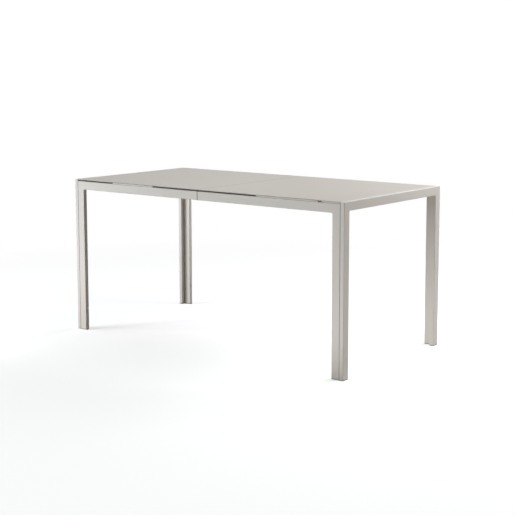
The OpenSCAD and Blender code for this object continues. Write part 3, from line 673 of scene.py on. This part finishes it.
def copy_of(name, node):
    """Copy of a CAD node, its loose triangles merged and opened for shaping."""
    made = added(name, nodes[node].data.copy())
    only(made)
    bpy.ops.object.mode_set(mode="EDIT")
    bpy.ops.mesh.select_all(action="SELECT")
    bpy.ops.mesh.remove_doubles(threshold=0.000001)
    bpy.ops.mesh.dissolve_limited(angle_limit=math.radians(0.5))
    return made


pinion_low, pinion_high = low_and_high("pinion")
web_in_r, web_out_r, web_sink = 0.0075, 0.0145, 0.0010
hole_count, hole_r, hole_ring_r, first_hole_turn = 6, 0.0022, 0.011, 20
drill_l = 0.02
pinion = finished(copy_of("pinion_gear_wheel", "pinion"))
for z in (pinion_high.z, pinion_low.z):
    ring = start("ring", bpy.ops.mesh.primitive_cylinder_add, vertices=48, radius=web_out_r,
                 depth=2 * web_sink, location=(0, 0, z))
    pick("FACE", lambda middle, normal: abs(normal.z) > 0.9)
    bpy.ops.mesh.inset(thickness=web_out_r - web_in_r)
    bpy.ops.mesh.bridge_edge_loops()
    cut_out(pinion, finished(ring))
for number in range(hole_count):
    turn = math.radians(number * 360 / hole_count + first_hole_turn)
    hole_x, hole_y = hole_ring_r * math.cos(turn), hole_ring_r * math.sin(turn)
    drill = start("drill", bpy.ops.mesh.primitive_cylinder_add, vertices=24, radius=hole_r,
                  depth=drill_l, location=(hole_x, hole_y, pinion_low.z))
    cut_out(pinion, finished(drill))
bpy.ops.object.shade_smooth_by_angle(angle=math.radians(35))
dress(pinion, grey_nylon, "grey_nylon", "pinion_gear", "pinion")


def turned(name, rings):
    """Solid turned on a lathe, from its lowest ring's radius and height to its highest."""
    made = start(name, bpy.ops.mesh.primitive_circle_add, vertices=40, radius=rings[0][0],
                 fill_type="NGON", location=(0, 0, rings[0][1]))
    pick("FACE", lambda middle, normal: True)
    for (before, low), (after, high) in zip(rings, rings[1:]):
        raised(high - low, (after / before, after / before))
    return finished(made, 30)


pin_low, pin_high = low_and_high("pinion_pin")
pin_r, pin_head_r, pin_head_h, pin_foot_h = 0.00395, 0.00645, 0.0015, 0.0025
head_z, plate_low = pin_high.z - pin_head_h, pin_low.z + pin_foot_h
pin = turned("pinion_axle", [
    (pin_r - 0.0006, pin_low.z + 0.0008), (pin_r + 0.0012, pin_low.z + 0.0008),
    (pin_r + 0.0015, pin_low.z), (pin_r + 0.0019, pin_low.z + 0.0001),
    (pin_head_r, pin_low.z + 0.0010), (pin_head_r, plate_low), (pin_r, plate_low),
    (pin_r, head_z), (pin_head_r, head_z), (pin_head_r, head_z + 0.0009),
    (pin_head_r - 0.0002, head_z + 0.0013), (pin_head_r - 0.0006, pin_high.z),
    (pin_r - 0.0004, pin_high.z), (pin_r - 0.0010, head_z + 0.0007), (0.0008, head_z + 0.0007),
    (0.0001, head_z + 0.0003)])
dress(pin, zinc_steel, "zinc_steel", "carriage", "pinion_pin")


# ---------- carriage screws ----------
# Short screws of the same plated steel. Four hold the pinion's plate down on the carriage
# tubes, and four hold the leaf's ledges up under them.
pan_r, pan_h, pan_shank_r, plate_shank_l, ledge_shank_l = 0.0045, 0.0023, 0.00245, 0.0040, 0.0050
plate_screw_y, ledge_screw_inset, ledge_t = 0.042, 0.013, 0.003
carriage_screw = new_screw("carriage_screw", pan_r, pan_h, pan_shank_r, plate_shank_l)
ledge_screw = new_screw("ledge_screw", pan_r, pan_h, pan_shank_r, ledge_shank_l)
screw_x = low_and_high("carriage_screws")[1].x - pan_r
plate_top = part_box("pinion_plate")[1][2]
ledge_screw_y = low_and_high("back_leaf_ledge")[1].y - ledge_screw_inset
upper = [facing((x, y, plate_top), 0, "X")
         for x in (-screw_x, screw_x) for y in (-plate_screw_y, plate_screw_y)]
lower = [facing((x, y, carriage_low.z - ledge_t), 180, "X")
         for x in (-screw_x, screw_x) for y in (-ledge_screw_y, ledge_screw_y)]
for model, name, places in ((carriage_screw, "plate_screws", upper),
                            (ledge_screw, "ledge_screws", lower)):
    dress(placed(model, name, places), zinc_steel, "zinc_steel", "carriage", "carriage_screws")
    bpy.data.objects.remove(model)


# ---------- insert leaf ----------
# The leaf's four battens are flat aluminium tubes. A moulded cap closes each end: it has
# rounded corners, and a short hollow stem behind it sits in the tube.
cap_w, cap_h, cap_t, cap_corner_r, cap_edge_r = 0.0296, 0.0146, 0.0012, 0.0018, 0.0005
stem_inset, stem_h, stem_tip_h, stem_wall, hollow_h = 0.0016, 0.0060, 0.0020, 0.0012, 0.0070
cap = start("cap", bpy.ops.mesh.primitive_cube_add, size=1, location=(0, 0, cap_t / 2),
            scale=(cap_w, cap_h, cap_t))
pick("FACE", lambda middle, normal: normal.z < -0.9)
bpy.ops.mesh.inset(thickness=stem_inset)
raised(-stem_h)
raised(-stem_tip_h, (0.96, 0.92))
bpy.ops.mesh.inset(thickness=stem_wall)
raised(hollow_h, (0.98, 0.96))
pick("EDGE", lambda middle, along: abs(along.z) > 0.9 and abs(middle.x) > cap_w / 2 - tiny)
bpy.ops.mesh.bevel(offset=cap_corner_r, segments=4)
pick("EDGE", lambda middle, along: abs(middle.z - cap_t) < tiny)
bpy.ops.mesh.bevel(offset=cap_edge_r, segments=2)
finished(cap)
places = []
for batten in ("left_outer", "left_inner", "right_inner", "right_outer"):
    low, high = low_and_high(batten + "_leaf_batten")
    middle = (low + high) / 2
    places.append(facing((middle.x, low.y, middle.z), 90, "X"))
    places.append(facing((middle.x, high.y, middle.z), -90, "X"))
dress(placed(cap, "leaf_batten_caps", places), black_plastic, "black_plastic", "insert_leaf")
bpy.data.objects.remove(cap)


# ---------- latches ----------
# Levers stamped from 3 mm steel, tumbled so that their edges are soft, with a finger hole in
# the tail. Each turns on a headed stud under the left seam bar and hooks one on the right.
finger_hole_r, tail_inset, lever_edge_r = 0.0036, 0.007, 0.00035
for side in ("front", "back"):
    lever = finished(copy_of(side + "_latch_plate", side + "_latch_lever"))
    low, high = low_and_high(side + "_latch_lever")
    tail_y = low.y + tail_inset if side == "front" else high.y - tail_inset
    hole = start("hole", bpy.ops.mesh.primitive_cylinder_add, vertices=32, radius=finger_hole_r,
                 depth=drill_l, location=((low.x + high.x) / 2, tail_y, low.z))
    cut_out(lever, finished(hole))
    soft = lever.modifiers.new("soft", "BEVEL")
    soft.width = lever_edge_r
    soft.segments = 2
    soft.limit_method = "ANGLE"
    soft.angle_limit = math.radians(40)
    bpy.ops.object.modifier_apply(modifier=soft.name)
    bpy.ops.object.shade_smooth_by_angle(angle=math.radians(35))
    dress(lever, zinc_steel, "zinc_steel", side + "_latch", side + "_latch_lever")

stud_r, stud_head_r, stud_head_h, collar_r = 0.003, 0.0055, 0.0019, 0.006
collar_lift, collar_h = 0.0055, 0.0017
for name, half in (("latch_pivot_studs", "left_half"), ("latch_keeper_studs", "right_half")):
    low, high = low_and_high(name)
    head_z, collar_z = low.z + stud_head_h, low.z + collar_lift
    stud = turned("stud", [
        (stud_r * 0.6, low.z + 0.0004), (stud_head_r - 0.0012, low.z),
        (stud_head_r - 0.0004, low.z + 0.0004), (stud_head_r, low.z + 0.0010),
        (stud_head_r, head_z), (stud_r, head_z), (stud_r, collar_z), (collar_r, collar_z),
        (collar_r, collar_z + collar_h), (stud_r, collar_z + collar_h), (stud_r, high.z)])
    places = [Matrix.Translation(((low.x + high.x) / 2, y, 0))
              for y in (low.y + collar_r, high.y - collar_r)]
    dress(placed(stud, name.replace("_studs", "_pins"), places), zinc_steel, "zinc_steel", half,
          name)
    bpy.data.objects.remove(stud)


# ---------- studio ----------
# A white floor that fades into a white surround, which shows in reflections too. A large soft
# light at the front left does most of the work; weaker ones fill in from the right, from
# behind, from low on the left and from just above the floor, which throws a warm light back.
reach = 40
floor_mesh = bpy.data.meshes.new("studio_floor")
floor_mesh.from_pydata([(-reach, -reach, 0), (reach, -reach, 0), (reach, reach, 0),
                        (-reach, reach, 0)], [], [(0, 1, 2, 3)])
floor = added("studio_floor", floor_mesh)
floor_finish = bpy.data.materials.new("studio_floor")
floor_finish.use_nodes = True
tree = floor_finish.node_tree
floor_shader = tree.nodes["Principled BSDF"]
white_shader = tree.nodes.new("ShaderNodeBsdfPrincipled")
for shader, colour in ((floor_shader, (0.50, 0.445, 0.400)), (white_shader, (0.95, 0.95, 0.95))):
    shader.inputs["Base Color"].default_value = (*colour, 1)
    shader.inputs["Roughness"].default_value = 0.9
    shader.inputs["Specular IOR Level"].default_value = 0.1
white_shader.inputs["Emission Color"].default_value = (1, 1, 1, 1)
white_shader.inputs["Emission Strength"].default_value = 0.50
seen = Value(tree.nodes.new("ShaderNodeLightPath").outputs["Is Camera Ray"])
place = Value(tree.nodes.new("ShaderNodeTexCoord").outputs["Object"])
away = place.node("ShaderNodeVectorMath", {"operation": "LENGTH"}, {0: place}, "Value")
glow = seen.node("ShaderNodeEmission", {}, {"Strength": 1.0})
near_floor = seen.node("ShaderNodeMixShader", {}, {0: (away * 0.25).ramp(0.30, 0.80),
                                                   1: Value(white_shader.outputs[0]), 2: glow})
floor_mix = seen.node("ShaderNodeMixShader", {}, {0: seen, 1: Value(floor_shader.outputs[0]),
                                                  2: near_floor})
tree.links.new(floor_mix.socket, tree.nodes["Material Output"].inputs["Surface"])
floor_mesh.materials.append(floor_finish)

faint = 0.01
world = bpy.data.worlds.new("studio")
world.use_nodes = True
bpy.context.scene.world = world
sky = world.node_tree.nodes["Background"]
ray = world.node_tree.nodes.new("ShaderNodeLightPath")
seen, mirrored = Value(ray.outputs["Is Camera Ray"]), Value(ray.outputs["Is Glossy Ray"])
world.node_tree.links.new((seen + mirrored + faint).socket, sky.inputs["Strength"])
tint = mirrored.between((1, 1, 1), (1.0, 0.98, 0.95))
world.node_tree.links.new(tint.socket, sky.inputs["Color"])


def soft_light(name, place, aim, shape, size, watts):
    """Soft light that faces a point on the table. watts are for red, green and blue."""
    lamp = bpy.data.lights.new(name, "AREA")
    lamp.shape = shape
    lamp.size = size
    lamp.energy = max(watts)
    lamp.color = [part / max(watts) for part in watts]
    made = added(name, lamp)
    made.location = place
    made.rotation_euler = (made.location - Vector(aim)).to_track_quat("Z", "Y").to_euler()
    made.visible_camera = False


soft_light("front_left_light", (-6.225, -6.225, 2.371), (0, 0, 0.5), "SQUARE", 4.5,
           (549, 575, 583))
soft_light("near_right_light", (2.462, 0.434, 2.5), (0, 0, 0.4), "SQUARE", 1.2, (30, 31.5, 29))
soft_light("back_right_light", (1.768, 1.768, 2.0), (0, 0, 0.4), "SQUARE", 1.2, (33, 33, 38))
soft_light("back_light", (1.294, 4.830, 2.5), (0, 0, 0.4), "SQUARE", 2.5, (62, 62, 62))
soft_light("back_left_light", (-2.2, 1.8, 2.2), (-0.4, 0, 0.7), "SQUARE", 1.5, (4.2, 3.8, 3.9))
soft_light("low_left_light", (-2.443, -0.889, 0.25), (0, 0, 0.2), "SQUARE", 0.5, (11.4, 13.5, 15))
soft_light("foot_light", (-1.2, -1.05, 0.1), (-0.78, -0.4, 0.03), "SQUARE", 0.3, (1.9, 1.6, 1.6))
soft_light("floor_light", (0.9, 0.6, 0.004), (0.9, 0.6, 1), "DISK", 2.0, (3.8, 3.8, 3.95))
soft_light("front_floor_light", (0.8, -1.0, 0.004), (0.8, -1.0, 1), "DISK", 0.8, (3.0, 2.9, 3.05))
